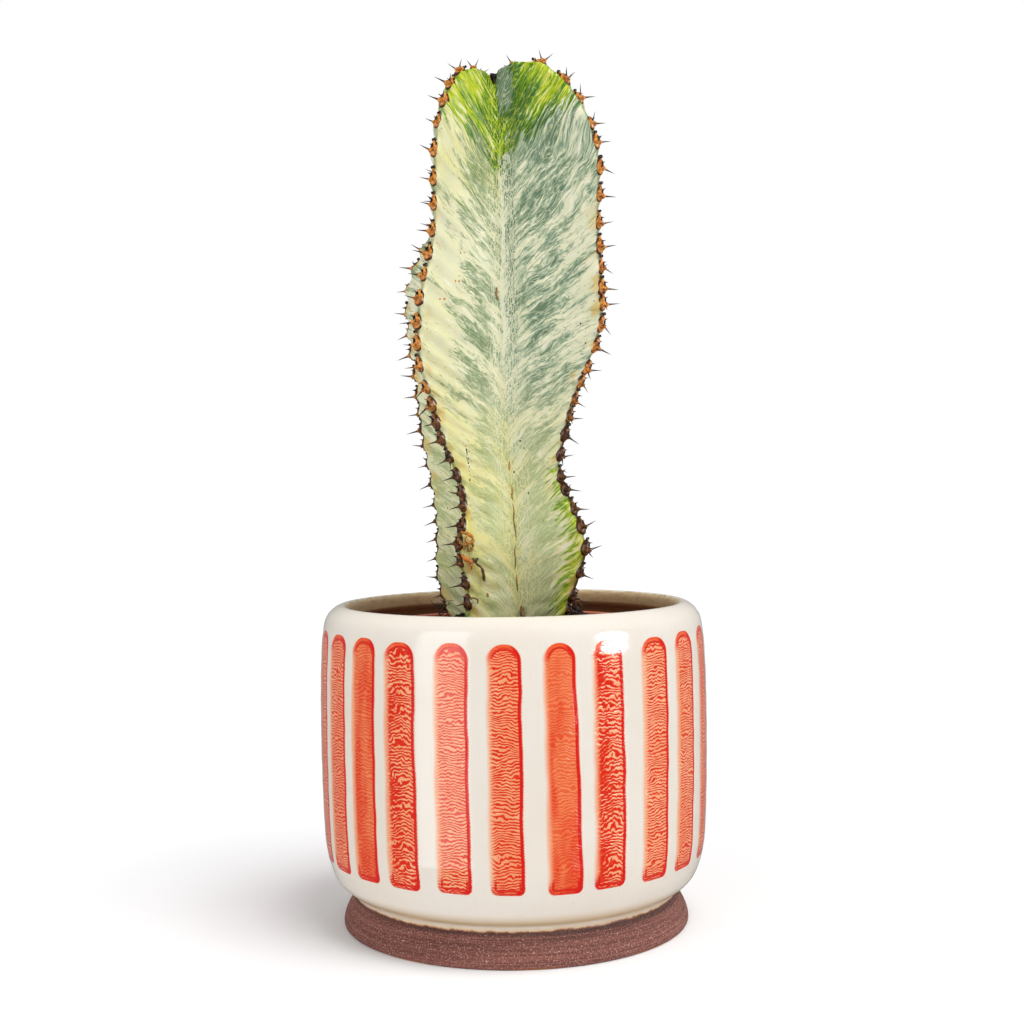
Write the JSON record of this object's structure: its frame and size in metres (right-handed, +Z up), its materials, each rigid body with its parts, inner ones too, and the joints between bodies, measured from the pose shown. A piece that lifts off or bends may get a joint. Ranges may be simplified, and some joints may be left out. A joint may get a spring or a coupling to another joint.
{
  "type": "potted marbled candelabra tree",
  "caption": "Marbled, ribbed succulent stem with paired spines along its wavy ribs, growing in a plastic grow pot that stands inside a striped glazed stoneware pot on a bare flared foot.",
  "frame": {"origin": "the pot's axis at the surface that its foot stands on", "axes": "+Z up along the pot's axis and the stem; -Y is the front, which the stem's finest face looks at"},
  "size_m": [0.17, 0.17, 0.3787],
  "materials": {
    "glazed_pot": "cream gloss glaze with coral brush stripes over a bare brown stoneware foot",
    "grow_pot": "satin moulded terracotta-coloured plastic",
    "soil": "loose dark potting mix with bark and fibre",
    "stem": "waxy green and cream skin with horny brown spine shields"
  },
  "bodies": {
    "root": {"pot": "glazed_pot", "nursery_pot": "grow_pot", "soil": "soil", "stem": "stem"}
  },
  "joints": []
}
